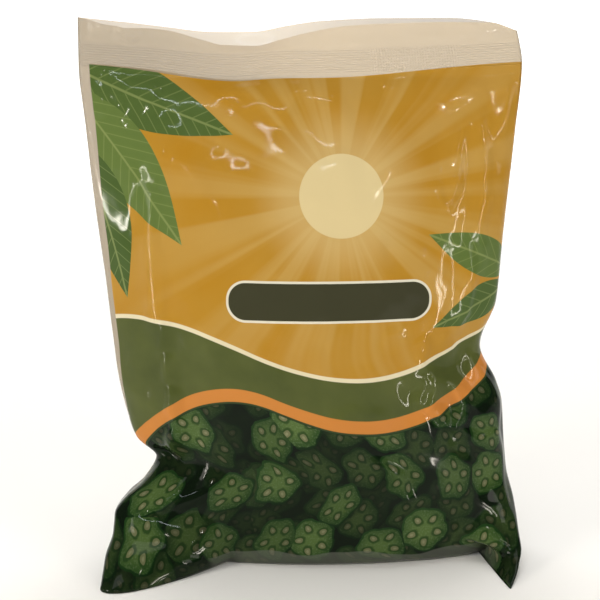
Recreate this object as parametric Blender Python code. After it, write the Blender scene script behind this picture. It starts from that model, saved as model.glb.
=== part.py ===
"""A sealed pillow bag of frozen baby okra, standing on its folded bottom. Metres, +Z up, front at -Y."""

import math
import random

import bmesh
import bpy
import numpy as np
from mathutils import Vector
from mathutils.bvhtree import BVHTree

MM = 0.001

# The bag, in millimetres. The film is a flat tube 200 wide, welded across its top and bottom.
FILM = 0.7
WELD_HEIGHT = 10.0
FIN_WIDTH = 10.0
FIN_LIFT = 1.2
VENT = 1.6
SIDE_STEPS = 20
LEVELS = (0.0, 3.0, 9.0, 16.0, 24.0, 32.0, 40.0, 48.0, 57.0, 68.0, 81.0, 95.0, 108.0, 122.0, 138.0, 154.0, 171.0,
          188.0, 203.0, 215.0)
FLAP_STEPS = 3

# Heights at which the side folds were measured, each with the left and the right fold's place in X.
LEFT_FOLD = ((0, -90), (9, -89.5), (17, -87), (24, -87), (31, -82), (37, -75), (47.5, -69.5), (57, -79), (66, -82.5),
             (86, -86.5), (107, -88.6), (133, -91), (166, -94.7), (202, -98), (231, -100.6), (253, -100.3))
RIGHT_FOLD = ((0, 95), (4, 100), (10, 103.5), (17, 103.5), (25, 102.8), (40, 99.7), (56, 98), (73, 96.8), (83, 94),
              (101, 86.4), (123, 92.8), (157, 95), (201, 98.5), (231, 101), (245, 98.5), (253, 95.5))
# How far the folds are pulled forward: the two bottom corners stand out in front as ears.
LEFT_PULL = ((0, 52), (9, 38), (17, 27), (24, 20), (37, 12), (48, 5), (66, 0))
RIGHT_PULL = ((0, 52), (5, 36), (10, 24), (17, 14), (25, 8), (40, 3), (60, 0))
FRONT_DEPTH = ((0, 26.5), (3, 29.5), (9, 32), (24, 33.5), (57, 33.5), (95, 32), (122, 30), (154, 25.5), (188, 17.5),
               (203, 13), (215, 7.5), (226, 0.75))
BACK_DEPTH = ((0, 26), (3, 28.5), (9, 30.5), (24, 31.5), (57, 31.5), (95, 30), (122, 28), (154, 23.5), (188, 16),
              (203, 11.5), (215, 6.5), (226, 0.75))
# 0.5 is an ellipse's section and 1 a pointed lens.
POINTED = ((0, 0.42), (24, 0.48), (95, 0.55), (154, 0.62), (203, 0.75), (226, 0.8))
# Heights along the width, from the left fold at 0 to the right one at 1.
WELD_FOOT = ((0, 230.5), (0.15, 228.5), (0.35, 225.5), (0.45, 227), (0.6, 227.5), (0.75, 228.7), (1, 231))
FRONT_EDGE = ((0, 252), (0.1, 248), (0.2, 246), (0.28, 242), (0.33, 240), (0.4, 240), (0.46, 242.5), (0.52, 245),
              (0.6, 247.5), (0.7, 249), (0.85, 250.3), (0.95, 249.5), (1, 246))
BACK_EDGE = ((0, 252), (0.1, 250), (0.2, 247.5), (0.3, 245.5), (0.4, 245.8), (0.47, 248), (0.56, 250.3),
             (0.7, 251.6), (0.85, 251.8), (0.95, 249.7), (1, 246))

# The pods, in millimetres.
POD_COUNT = 138
POD_LENGTH = (26.0, 33.0)
POD_WIDTH = (13.2, 15.6)
POD_SIDES = 5
POD_RINGS = ((0.0, 0.20), (0.30, 0.88), (0.66, 0.98), (1.0, 0.42))
POD_GAP = 0.8
FILL_HEIGHT = 150.0
SETTLE_STEPS = 260
CLUMP = 3
NECK_RADIUS = 1.7
SEED = 31


def smooth(stations, at):
    """A curve without overshoot through (place, value) stations."""
    xs = np.array([s[0] for s in stations], float)
    ys = np.array([s[1] for s in stations], float)
    at = min(max(at, xs[0]), xs[-1])
    slope = np.diff(ys) / np.diff(xs)
    tangent = np.zeros(len(xs))
    tangent[0], tangent[-1] = slope[0], slope[-1]
    for i in range(1, len(xs) - 1):
        if slope[i - 1] * slope[i] > 0:
            tangent[i] = 2 * slope[i - 1] * slope[i] / (slope[i - 1] + slope[i])
    i = min(int(np.searchsorted(xs, at, side="right")) - 1, len(xs) - 2)
    h = xs[i + 1] - xs[i]
    t = (at - xs[i]) / h
    a, b = (1 + 2 * t) * (1 - t) ** 2, t * (1 - t) ** 2
    c, d = t * t * (3 - 2 * t), t * t * (t - 1)
    return float(a * ys[i] + b * h * tangent[i] + c * ys[i + 1] + d * h * tangent[i + 1])


def hump(x, centre, width):
    return math.exp(-(((x - centre) / width) ** 2))


def rise(x, low, high):
    t = min(max((x - low) / (high - low), 0.0), 1.0)
    return t * t * (3 - 2 * t)


def middle(x, z):
    """Where the fold line between front and back runs, in Y: ears forward at the floor, a wavy welded top."""
    left, right = smooth(LEFT_FOLD, z), smooth(RIGHT_FOLD, z)
    u = (x - left) / (right - left)
    ear_left = smooth(LEFT_PULL, z) * (1 - min(u / 0.3, 1.0) ** 1.3 if u > 0 else 1.0)
    reach = 0.05 + 0.10 * rise(z, 3, 14)
    ear_right = smooth(RIGHT_PULL, z) * max(1 - max(1 - u, 0.0) / reach, 0.0)
    wave = 2.2 * math.sin(2 * math.pi * (1.15 * u + 0.1)) * rise(z, 185, 245)
    return -ear_left - ear_right + wave


def half_depths(x, z):
    """Front and back distance of the outer surface from the fold line's Y."""
    left, right = smooth(LEFT_FOLD, z), smooth(RIGHT_FOLD, z)
    u = min(max((x - left) / (right - left), 0.0), 1.0)
    body = math.sin(math.pi * u ** 1.06) ** smooth(POINTED, z) if 0 < u < 1 else 0.0
    front = smooth(FRONT_DEPTH, z) * body
    back = smooth(BACK_DEPTH, z) * body
    ends = rise(u, 0, 0.09) * rise(1 - u, 0, 0.09)
    # A soft vertical ridge where the flat left margin turns into the filled middle.
    ridge_x = -56 - 14 * rise(z, 20, 165)
    front += 2.4 * hump(x, ridge_x, 6) * rise(z, 25, 50) * (1 - rise(z, 150, 190)) * ends
    # The dents that run in from the pinch on the left and from the waist on the right.
    front -= 9 * hump(z, 48 + 0.15 * (x + 70), 8) * (1 - rise(x, -66, -38)) * ends
    front -= 5 * hump(z, 101 + 0.35 * (x - 86), 10) * rise(x, 48, 88) * ends
    back -= 4 * hump(z, 100, 12) * rise(x, 50, 88) * ends
    return max(front, 0.75 * ends if z > 200 else 0.0), max(back, 0.75 * ends if z > 200 else 0.0)


def widths(inset=0.0):
    """Places along the width, from 0 to 1, closer together at the folds and at the fin on the back."""
    places = [0.5 - 0.5 * math.cos(math.pi * i / SIDE_STEPS) for i in range(SIDE_STEPS + 1)]
    half = FIN_WIDTH / 400
    places += [0.5 - half - 0.006, 0.5 - half, 0.5 + half, 0.5 + half + 0.006]
    return sorted(p for p in places if abs(p - 0.5) > 1e-6)


def ring(z_of, wall=0.0, spread=(0.0, 0.0), fin=True, level=None):
    """One closed section: front points from left to right, then back points from right to left."""
    front, back = [], []
    places = widths()
    for side, points in ((-1, front), (1, back)):
        for u in places:
            z = z_of(u, side)
            zs = min(z if level is None else level, 253.0)
            left, right = smooth(LEFT_FOLD, zs) + 1.3 * wall, smooth(RIGHT_FOLD, zs) - 1.3 * wall
            x = left + (right - left) * u
            if wall:
                x_low, x_high = x - 0.4, x + 0.4
                near, far = half_depths(x_low, zs), half_depths(x_high, zs)
                pick = 0 if side < 0 else 1
                run = (far[pick] - near[pick]) / 0.8 + side * (middle(x_high, zs) - middle(x_low, zs)) / 0.8
                depth = half_depths(x, zs)[pick] - wall * math.hypot(1, run)
                depth = max(depth, 0.1)
            else:
                depth = half_depths(x, zs)[0 if side < 0 else 1]
            if u in (0.0, 1.0):
                depth = 0.0
            elif side > 0 and fin and abs(u - 0.5) <= FIN_WIDTH / 400 + 1e-6 and not wall and z > 3:
                depth += FIN_LIFT
            depth += spread[0 if side < 0 else 1] * rise(u, 0, 0.12) * rise(1 - u, 0, 0.12)
            points.append(Vector((x, middle(x, zs) + side * depth, z)))
    return front + back[-2:0:-1]


def add_ring(bm, points):
    return [bm.verts.new(p * MM) for p in points]


def loft(bm, low, high):
    count = len(low)
    for i in range(count):
        j = (i + 1) % count
        bm.faces.new((low[i], low[j], high[j], high[i]))


def close_across(bm, verts, flip):
    """Closes a section with strips from its front to its back, instead of with one large face."""
    last = len(verts) // 2
    for i in range(last):
        corners = [verts[i], verts[i + 1], verts[-(i + 1)], verts[-i] if i else verts[0]]
        kept = list(dict.fromkeys(corners))
        bm.faces.new(kept if flip else kept[::-1])


def top_z(k):
    """The flap edges: step k of FLAP_STEPS from the weld's top up to the cut edge, on either side."""
    def height(u, side):
        edge = smooth(FRONT_EDGE if side < 0 else BACK_EDGE, u)
        weld = smooth(WELD_FOOT, u) + WELD_HEIGHT
        return weld + (max(edge, weld + 2.5) - weld) * k / FLAP_STEPS
    return height


def film_mesh():
    """The film as one closed body: outside, the two loose flaps over the weld, and the inside of the pack."""
    bm = bmesh.new()
    outside = [add_ring(bm, ring(lambda u, side, z=z: z)) for z in LEVELS]
    outside.append(add_ring(bm, ring(lambda u, side: smooth(WELD_FOOT, u))))
    outside.append(add_ring(bm, ring(lambda u, side: smooth(WELD_FOOT, u) + WELD_HEIGHT)))
    for k in range(1, FLAP_STEPS + 1):
        lean = (k / FLAP_STEPS) ** 1.4
        outside.append(add_ring(bm, ring(top_z(k), spread=(4.2 * lean, 1.6 * lean))))
    flaps = []
    for k in range(FLAP_STEPS, 0, -1):
        lean = (k / FLAP_STEPS) ** 1.4
        points = ring(top_z(k), wall=FILM, spread=(4.2 * lean, 1.6 * lean))
        flaps.append(add_ring(bm, points))
    flaps.append(add_ring(bm, ring(lambda u, side: smooth(WELD_FOOT, u) + WELD_HEIGHT - 0.5, wall=FILM)))
    chain = outside + flaps
    for low, high in zip(chain, chain[1:]):
        loft(bm, low, high)
    close_across(bm, chain[0], True)
    close_across(bm, chain[-1], False)

    inside = [add_ring(bm, ring(lambda u, side: FILM, wall=FILM, level=0.0))]
    inside += [add_ring(bm, ring(lambda u, side, z=z: z, wall=FILM)) for z in LEVELS[1:]]
    inside.append(add_ring(bm, ring(lambda u, side: smooth(WELD_FOOT, u) - 1.0, wall=FILM)))
    for low, high in zip(inside, inside[1:]):
        loft(bm, high, low)
    close_across(bm, inside[0], False)
    close_across(bm, inside[-1], True)
    cut_vent(bm, outside, inside)
    return bm


def cut_vent(bm, outside, inside):
    """The pinhole that lets air out of a frozen pack, high on its back."""
    row, column = len(LEVELS) - 2, 2 * (len(widths()) - 1) - 6
    pair = []
    for rings in (outside, inside):
        corners = {rings[row][column], rings[row][column + 1], rings[row + 1][column], rings[row + 1][column + 1]}
        pair.append(next(f for f in rings[row][column].link_faces if set(f.verts) == corners))
    for face in pair:
        centre = face.calc_center_median()
        bmesh.ops.inset_individual(bm, faces=[face], thickness=0.002)
        for vert in face.verts:
            off = vert.co - centre
            vert.co = centre + off * (0.5 * VENT * MM / max(off.length, 1e-9))
    rims = [list(face.edges) for face in pair]
    bmesh.ops.delete(bm, geom=pair, context="FACES_ONLY")
    bmesh.ops.bridge_loops(bm, edges=rims[0] + rims[1])


def finish(bm, name, material, collection, flat=False):
    bmesh.ops.recalc_face_normals(bm, faces=bm.faces)
    mesh = bpy.data.meshes.new(name)
    bm.to_mesh(mesh)
    bm.free()
    obj = bpy.data.objects.new(name, mesh)
    collection.objects.link(obj)
    mesh.materials.append(material)
    if not flat:
        mesh.shade_smooth()
        mesh.set_sharp_from_angle(angle=math.radians(40))
    return obj


def pod_spheres(pod):
    """Spheres that cover a pod, for keeping it clear of the others."""
    place, axis, length, width = pod["at"], pod["axis"], pod["length"], pod["width"]
    spheres = []
    for along, share in ((0.10, 0.50), (0.30, 0.88), (0.56, 1.0), (0.80, 0.88), (0.95, 0.62)):
        radius = 0.5 * width * share
        spheres.append((place + axis * (length * (along - 0.5)), radius))
    return spheres


def settle(tree, chance):
    """Pods laid at random in the filled part of the pack, then pushed clear of each other and of the film."""
    pods = []
    while len(pods) < POD_COUNT:
        at = Vector((chance.uniform(-74, 84), chance.uniform(-20, 20), chance.uniform(8, FILL_HEIGHT)))
        axis = Vector((chance.gauss(0, 1), chance.gauss(0, 0.55), chance.gauss(0, 0.8)))
        if axis.length < 0.2:
            continue
        pods.append({"at": at, "axis": axis.normalized(), "length": chance.uniform(*POD_LENGTH),
                     "width": chance.uniform(*POD_WIDTH)})
    count, each = len(pods), len(pod_spheres(pods[0]))
    radii = np.array([[s[1] for s in pod_spheres(p)] for p in pods])
    reach = (radii[:, :, None, None] + radii[None, None, :, :] + POD_GAP).transpose(0, 2, 1, 3)
    own = np.eye(count, dtype=bool)
    for step in range(SETTLE_STEPS):
        centres = np.array([[tuple(s[0]) for s in pod_spheres(p)] for p in pods])
        middles = np.array([tuple(p["at"]) for p in pods])
        gap = (centres[:, :, None, None, :] - centres[None, None, :, :, :]).transpose(0, 2, 1, 3, 4)
        dist = np.sqrt((gap ** 2).sum(axis=4))
        need = (reach - dist).reshape(count, count, each * each)
        worst = need.argmax(axis=2)
        deep = np.take_along_axis(need, worst[:, :, None], axis=2)[:, :, 0]
        deep[own] = 0.0
        deep = np.maximum(deep, 0.0)
        rows, cols = np.arange(count)[:, None], np.arange(count)[None, :]
        flat_gap = gap.reshape(count, count, each * each, 3)[rows, cols, worst]
        flat_dist = dist.reshape(count, count, each * each)[rows, cols, worst]
        away = flat_gap / np.maximum(flat_dist, 1e-6)[..., None] * (deep * 0.5)[..., None]
        arm = centres[rows, worst // each] - middles[:, None, :]
        push = away.sum(axis=1) * 0.7
        turn = np.cross(arm, away).sum(axis=1) * 0.010
        for i in range(count):
            for s in range(each):
                centre = Vector(centres[i][s]) * MM
                spot, normal, _index, _far = tree.find_nearest(centre)
                deeper = (centre - spot).dot(normal) / MM + radii[i][s] + POD_GAP
                if deeper > 0:
                    wall = -np.array(normal) * deeper
                    push[i] += wall * 0.6
                    turn[i] += np.cross(centres[i][s] - middles[i], wall) * 0.006
        for i, pod in enumerate(pods):
            pod["at"] = pod["at"] + Vector(push[i].tolist()) * 0.8
            pod["at"].z -= 0.12 if step < SETTLE_STEPS * 0.5 else 0.0
            spin = Vector(turn[i].tolist())
            if spin.length > 1e-6:
                angle = min(spin.length, 0.25)
                axis = pod["axis"] + spin.normalized().cross(pod["axis"]) * angle
                pod["axis"] = axis.normalized()
    return pods


def clearance(one, other):
    """The gap between two pods, and the two nearest points on their axes."""
    best = None
    for ca, ra in pod_spheres(one):
        for cb, rb in pod_spheres(other):
            gap = (ca - cb).length - ra - rb
            if best is None or gap < best[0]:
                best = (gap, ca, cb)
    return best


def keep_clear(pods, tree):
    """Makes a pod that still touches a little slimmer, and drops one that would have to be too slim."""
    kept = []
    for pod in pods:
        for _try in range(14):
            spheres = pod_spheres(pod)
            tight = min((clearance(pod, other)[0] for other in kept), default=9.0)
            for centre, radius in spheres:
                spot, normal, _index, _far = tree.find_nearest(centre * MM)
                tight = min(tight, -(centre * MM - spot).dot(normal) / MM - radius)
            if tight >= 0.35:
                kept.append(pod)
                break
            pod["width"] *= 0.965
            pod["length"] *= 0.975
            if pod["width"] < 9.5:
                break
    return kept


def pod_mesh(bm, pod, chance):
    """One pod: five flat ridged sides, a narrow tip, and the cut stalk end."""
    axis = pod["axis"]
    side = axis.orthogonal().normalized()
    other = axis.cross(side)
    turn = chance.uniform(0, math.tau)
    rings = []
    for along, share in POD_RINGS:
        centre = pod["at"] + axis * (pod["length"] * (along - 0.5))
        radius = 0.5 * pod["width"] * share
        points = []
        for k in range(POD_SIDES):
            angle = turn + math.tau * k / POD_SIDES
            points.append(centre + side * (radius * math.cos(angle)) + other * (radius * math.sin(angle)))
        rings.append([bm.verts.new(p * MM) for p in points])
    for low, high in zip(rings, rings[1:]):
        loft(bm, low, high)
    bm.faces.new(rings[0][::-1])
    bm.faces.new(rings[-1])


def neck_mesh(bm, start, end):
    """A neck of frost between two pods that froze together, from inside one to inside the other."""
    axis = (end - start).normalized()
    side = axis.orthogonal().normalized()
    other = axis.cross(side)
    rings = []
    for centre in (start, end):
        rings.append([bm.verts.new((centre + side * (NECK_RADIUS * math.cos(math.tau * k / 4))
                                    + other * (NECK_RADIUS * math.sin(math.tau * k / 4))) * MM) for k in range(4)])
    loft(bm, *rings)
    bm.faces.new(rings[0][::-1])
    bm.faces.new(rings[1])


def clumps(pods):
    """Groups of up to CLUMP pods, each within frost's reach of the one before."""
    free, groups = set(range(len(pods))), []
    order = sorted(free, key=lambda i: (pods[i]["at"].z, pods[i]["at"].x))
    for first in order:
        if first not in free:
            continue
        free.discard(first)
        group, links = [first], []
        while len(group) < CLUMP:
            options = []
            for i in group:
                for j in sorted(free):
                    if (pods[i]["at"] - pods[j]["at"]).length > POD_LENGTH[1] + 3:
                        continue
                    gap, ca, cb = clearance(pods[i], pods[j])
                    if gap < 2.5 and neck_is_clear(pods, i, j, ca, cb):
                        options.append((gap, i, j, ca, cb))
            if not options:
                break
            _gap, i, j, ca, cb = min(options, key=lambda o: o[:3])
            free.discard(j)
            group.append(j)
            links.append((ca, cb))
        groups.append((group, links))
    return groups


def neck_is_clear(pods, i, j, start, end):
    for k, pod in enumerate(pods):
        if k in (i, j) or (pod["at"] - start).length > POD_LENGTH[1] + 10:
            continue
        for centre, radius in pod_spheres(pod):
            along = min(max((centre - start).dot(end - start) / (end - start).length_squared, 0.0), 1.0)
            if (centre - start.lerp(end, along)).length < radius + NECK_RADIUS + 0.4:
                return False
    return True


def fuse(pieces, name, material, collection, helpers):
    """One closed body from overlapping pieces, by a Boolean union that is applied."""
    base = pieces[0]
    for obj in pieces[1:]:
        helpers.objects.link(obj)
        collection.objects.unlink(obj)
        obj.hide_render = True
        obj.display_type = "WIRE"
    if len(pieces) > 1:
        joined = base.modifiers.new("frozen_together", "BOOLEAN")
        joined.operation = "UNION"
        joined.operand_type = "COLLECTION"
        joined.collection = helpers
        joined.solver = "MANIFOLD"
        graph = bpy.context.evaluated_depsgraph_get()
        mesh = bpy.data.meshes.new_from_object(base.evaluated_get(graph))
        base.modifiers.clear()
        old, base.data = base.data, mesh
        bpy.data.meshes.remove(old)
        for obj in pieces[1:]:
            bpy.data.objects.remove(obj)
    base.name = name
    base.data.name = name
    return base


def principled(name, colour, roughness, alpha=1.0):
    material = bpy.data.materials.new(name)
    material.use_nodes = True
    shader = material.node_tree.nodes["Principled BSDF"]
    shader.inputs["Base Color"].default_value = (*colour, 1.0)
    shader.inputs["Roughness"].default_value = roughness
    shader.inputs["Alpha"].default_value = alpha
    material.diffuse_color = (*colour, 1.0)
    return material


def main():
    for obj in list(bpy.data.objects):
        bpy.data.objects.remove(obj)
    bag = bpy.data.collections.new("frozen_okra_bag")
    helpers = bpy.data.collections.new("cutters")
    for collection in (bag, helpers):
        bpy.context.scene.collection.children.link(collection)
    film_material = principled("printed_film", (0.60, 0.40, 0.12), 0.25)
    pod_material = principled("okra", (0.10, 0.25, 0.07), 0.60)

    film = finish(film_mesh(), "film_bag", film_material, bag)
    chance = random.Random(SEED)
    bm = bmesh.new()
    cavity = [add_ring(bm, ring(lambda u, side: FILM, wall=FILM, level=0.0))]
    cavity += [add_ring(bm, ring(lambda u, side, z=z: z, wall=FILM)) for z in LEVELS[1:]]
    for low, high in zip(cavity, cavity[1:]):
        loft(bm, low, high)
    close_across(bm, cavity[0], True)
    close_across(bm, cavity[-1], False)
    bmesh.ops.recalc_face_normals(bm, faces=bm.faces)
    tree = BVHTree.FromBMesh(bm)
    bm.free()
    pods = keep_clear(settle(tree, chance), tree)
    groups = clumps(pods)
    for number, (group, links) in enumerate(groups):
        pieces = []
        for index in group:
            bm = bmesh.new()
            pod_mesh(bm, pods[index], chance)
            pieces.append(finish(bm, "pod", pod_material, bag, flat=True))
        for start, end in links:
            bm = bmesh.new()
            neck_mesh(bm, start, end)
            pieces.append(finish(bm, "frost_neck", pod_material, bag, flat=True))
        fuse(pieces, f"okra_pods_{number + 1:02d}", pod_material, bag, helpers)
    centre_at_origin(film)
    print("pods", len(pods), "clumps", len(groups))


def centre_at_origin(film):
    """The origin is the middle of the box's bottom face."""
    points = np.array([tuple(v.co) for v in film.data.vertices])
    shift = Vector((-(points[:, 0].min() + points[:, 0].max()) / 2, -(points[:, 1].min() + points[:, 1].max()) / 2,
                    -points[:, 2].min()))
    for obj in bpy.data.collections["frozen_okra_bag"].objects:
        for vert in obj.data.vertices:
            vert.co += shift


main()
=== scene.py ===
"""A sealed pillow bag of frozen okra pods: its printed film, its welds, the pods and the studio."""

import math

import bmesh
import bpy
import numpy as np
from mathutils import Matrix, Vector, geometry, noise


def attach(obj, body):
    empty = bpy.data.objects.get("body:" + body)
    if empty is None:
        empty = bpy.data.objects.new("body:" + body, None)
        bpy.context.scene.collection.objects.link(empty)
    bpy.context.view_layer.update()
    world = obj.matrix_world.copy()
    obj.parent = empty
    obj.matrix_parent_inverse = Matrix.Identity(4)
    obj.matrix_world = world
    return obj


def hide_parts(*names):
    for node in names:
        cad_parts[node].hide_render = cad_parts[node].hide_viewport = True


bl_info = {
    "name": "Frozen okra bag",
    "version": (1, 0, 0),
    "blender": (4, 5, 0),
    "location": "View3D > Sidebar > Okra bag",
    "description": "Builds a crumpled, printed pillow bag of frozen okra pods over its packed frame",
    "category": "Add Mesh",
}

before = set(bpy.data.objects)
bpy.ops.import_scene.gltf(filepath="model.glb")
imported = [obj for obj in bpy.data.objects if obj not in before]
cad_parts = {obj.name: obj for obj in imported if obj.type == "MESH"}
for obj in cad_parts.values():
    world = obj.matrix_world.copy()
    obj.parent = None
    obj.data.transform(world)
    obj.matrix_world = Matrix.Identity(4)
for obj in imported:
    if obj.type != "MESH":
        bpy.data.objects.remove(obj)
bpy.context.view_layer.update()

MM = 0.001
# Where the bag's own axes stand in the frame, from the middle of the frame's box.
OFFSET = Vector((-1.45, 12.6, 0.0))

# The flat film in millimetres. Distances round it, called s, start at the middle of the back and reach the
# left fold first. Distances up it, called v, start at the bottom weld. The UV map counts LONG as 1.
ROUND = 400.0
SIDE = ROUND / 2
LEFT_FOLD_S, RIGHT_FOLD_S = ROUND / 4, 3 * ROUND / 4
LONG = 300.0
UNDER_V, FRONT_V, NECK_V, WELD_V, FLAP_V, TOP_V = 10.0, 36.0, 256.0, 268.0, 278.0, 290.0
# The neck's height over the floor, and how tall the welded band is.
NECK_Z = 215.0
WELD_HEIGHT = 10.0
# The film stays this far over the floor.
FLOOR_GAP = 0.1

# Columns on each side, and rows of the underside, the body, the neck, the weld and the flaps.
FINE = (160, 14, 170, 9, 9, 10)
COARSE = (84, 8, 84, 5, 5, 5)
# The cloth settles ten times as large, for so many frames. It is held a little everywhere and more along the
# folds, and no point of it moves further than so many millimetres.
SIM_SCALE = 10.0
SETTLE_FRAMES = 16
HOLD, EDGE_HOLD = 0.002, 0.1
MOST_MOVE = 6.0
# How much of the creases the film has before it settles.
FIRST_CREASE = 0.7

# Heights at which the side folds were measured, each with the left and the right fold's place in X.
LEFT_FOLD = ((0, -90), (9, -89.5), (17, -87), (24, -87), (31, -82), (37, -75), (47.5, -69.5), (57, -79),
             (66, -82.5), (86, -86.5), (107, -88.6), (133, -91), (166, -94.7), (202, -98), (231, -100.6),
             (253, -100.3))
RIGHT_FOLD = ((0, 95), (4, 100), (10, 103.5), (17, 103.5), (25, 102.8), (40, 99.7), (56, 98), (73, 96.8),
              (83, 94), (101, 86.4), (123, 92.8), (157, 95), (201, 98.5), (231, 101), (245, 98.5),
              (253, 95.5))
LEFT_PULL = ((0, 52), (9, 38), (17, 27), (24, 20), (37, 12), (48, 5), (66, 0))
RIGHT_PULL = ((0, 52), (5, 36), (10, 24), (17, 14), (25, 8), (40, 3), (60, 0))
FRONT_DEPTH = ((0, 26.5), (3, 29.5), (9, 32), (24, 33.5), (57, 33.5), (95, 32), (122, 30), (154, 25.5),
               (188, 17.5), (203, 13), (215, 7.5), (226, 0.75))
BACK_DEPTH = ((0, 26), (3, 28.5), (9, 30.5), (24, 31.5), (57, 31.5), (95, 30), (122, 28), (154, 23.5),
              (188, 16), (203, 11.5), (215, 6.5), (226, 0.75))
POINTED = ((0, 0.42), (24, 0.48), (95, 0.55), (154, 0.62), (203, 0.75), (226, 0.8))
WELD_FOOT = ((0, 230.5), (0.15, 228.5), (0.35, 225.5), (0.45, 227), (0.6, 227.5), (0.75, 228.7), (1, 231))
FRONT_EDGE = ((0, 252), (0.1, 248), (0.2, 246), (0.28, 242), (0.33, 240), (0.4, 240), (0.46, 242.5),
              (0.52, 245), (0.6, 247.5), (0.7, 249), (0.85, 250.3), (0.95, 249.5), (1, 246))
BACK_EDGE = ((0, 252), (0.1, 250), (0.2, 247.5), (0.3, 245.5), (0.4, 245.8), (0.47, 248), (0.56, 250.3),
             (0.7, 251.6), (0.85, 251.8), (0.95, 249.7), (1, 246))

# Sharp creases on the front: from (across, up) to (across, up) on the flat film, width and height, all in mm.
CREASES = (
    # the taut ridge above the pinched left corner, and the folds that meet at the pinch
    (31, 206, 34, 176, 1.8, 0.6), (34, 180, 34, 150, 1.6, 0.9), (31, 98, 35, 110, 1.2, 1.5),
    (31, 110, 36, 124, 1.2, 1.5), (32, 125, 37, 140, 1.2, 1.4), (32, 141, 37, 156, 1.2, 1.2),
    (20, 82, 32, 104, 1.5, 1.8), (22, 81, 28, 64, 1.5, 1.8), (8, 86, 22, 80, 1.8, 1.6),
    (19, 122, 24, 104, 1.8, 0.9), (24, 106, 19, 84, 1.6, 0.9), (10, 84, 18, 69, 1.8, 1.0),
    (18, 71, 17, 54, 1.8, 0.8), (12, 50, 34, 48, 1.6, 1.3), (33, 49, 56, 31, 1.6, 1.2),
    # under the welded top, and loose creases down the left
    (11, 265.5, 21, 262.5, 2.2, 1.1), (19, 263, 37, 260.5, 2.2, 1.1), (8, 264, 9, 248, 1.4, 0.8),
    (19, 228, 23, 216, 1.4, 0.6), (24, 218, 35, 211, 1.5, 0.6), (41, 250, 35, 224, 2.2, 0.6),
    (35, 227, 31, 203, 2.0, 0.5), (59, 260, 54, 232, 2.4, 0.6), (100, 265, 91, 246, 2.2, 0.5),
    (114, 261, 121, 237, 2.2, 0.5), (78, 266, 82, 252, 2.0, 0.5), (138, 260, 152, 265, 1.6, 0.6),
    # slack folds down the right
    (176, 249, 170, 214, 1.6, 0.9), (172, 224, 167, 204, 1.4, 0.7), (162, 219, 165, 207, 1.2, 0.6),
    (182, 256, 185, 218, 1.8, 0.9), (185, 222, 185, 188, 1.6, 0.9), (185, 192, 184, 171, 1.6, 1.0),
    (178, 191, 179, 156, 1.5, 1.5), (179, 160, 174, 152, 1.4, 1.0), (174, 154, 185, 145, 1.5, 1.1),
    (131, 195, 150, 164, 2.0, 0.4), (134, 191, 160, 188, 1.8, 0.35),
    # the star where the film is dented, the wide wrinkle left of it and small ones above
    (166, 102, 155, 113, 1.3, 1.9), (155, 111, 164, 132, 1.4, 1.7), (165, 101, 170, 112, 1.3, 1.7),
    (170, 110, 171, 127, 1.3, 1.5), (156, 113, 148, 119, 1.3, 1.1), (148, 117, 160, 129, 1.4, 1.0),
    (165, 102, 179, 95, 1.5, 1.2), (177, 96, 192, 97, 1.5, 1.0), (122, 92, 143, 66, 1.9, 2.4),
    (128, 88, 138, 76, 1.2, 1.0), (139, 150, 149, 152, 1.2, 0.8), (158, 149, 163, 141, 1.2, 0.9),
    (162, 142, 159, 131, 1.2, 0.7), (167, 148, 182, 139, 1.3, 1.0), (187, 143, 192, 115, 1.6, 0.9),
    (192, 118, 193, 88, 1.6, 0.8), (193, 92, 189, 58, 1.6, 0.7), (127, 42, 149, 54, 1.8, 0.7),
    (148, 55, 163, 44, 1.8, 0.7), (163, 46, 182, 56, 1.8, 0.8),
    # the crumpled corner of the loose flaps
    (16, 287, 9, 289, 1.0, 0.8), (28, 283.5, 18, 287.5, 1.1, 1.0), (25, 279, 17, 284, 1.0, 0.8),
    (5, 280, 8, 289, 1.2, 0.7),
)
# Dents that creases run into: (across, up, radius, depth) in mm.
DENTS = ((163, 116, 14, 3.6), (133, 78, 13, 1.8), (21, 80, 13, 1.8), (181, 147, 12, 1.6),
         (150, 122, 9, 1.6), (62, 236, 16, 0.9))

# A crease falls steeply on one side and gently on the other: its reach in widths of the crease.
STEEP, GENTLE = 2.6, 6.0

# The film's refraction, and how far its ribs stand out beside its fine crinkles.
FILM_IOR, RIB_SHARE = 1.5, 0.45
# The print, in millimetres across each side and up the film. A leaf has its stalk, its turn in radians, its
# length and width, and how dark it is. A layer of slices has its pitch, shift, size and darkness, the lowest
# layer first. A label has its middle, half its width and height, whether it is on the back, and its colour.
GOLD, LEAF_GREEN, RIBBON_ORANGE = (0.47, 0.225, 0.014), (0.13, 0.19, 0.05), (0.62, 0.24, 0.05)
SUN, SUN_RADIUS = (118.0, 214.0), 19.0
LEAVES = ((-4, 268, -0.35, 78, 27, 0.45), (-6, 262, -0.95, 88, 30, 0.0), (-2, 236, -1.35, 74, 26, 0.60),
          (206, 176, 2.75, 52, 19, 0.10), (204, 170, -2.75, 46, 17, 0.50))
SLICES = ((19.0, 61.0, 0.47, 0.86), (23.0, 143.0, 0.46, 0.62), (27.0, 17.0, 0.40, 0.0))
LABELS = ((112, 166, 46, 8.5, False, (0.055, 0.055, 0.030)), (100, 196, 66, 40, True, (0.78, 0.74, 0.62)))

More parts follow.
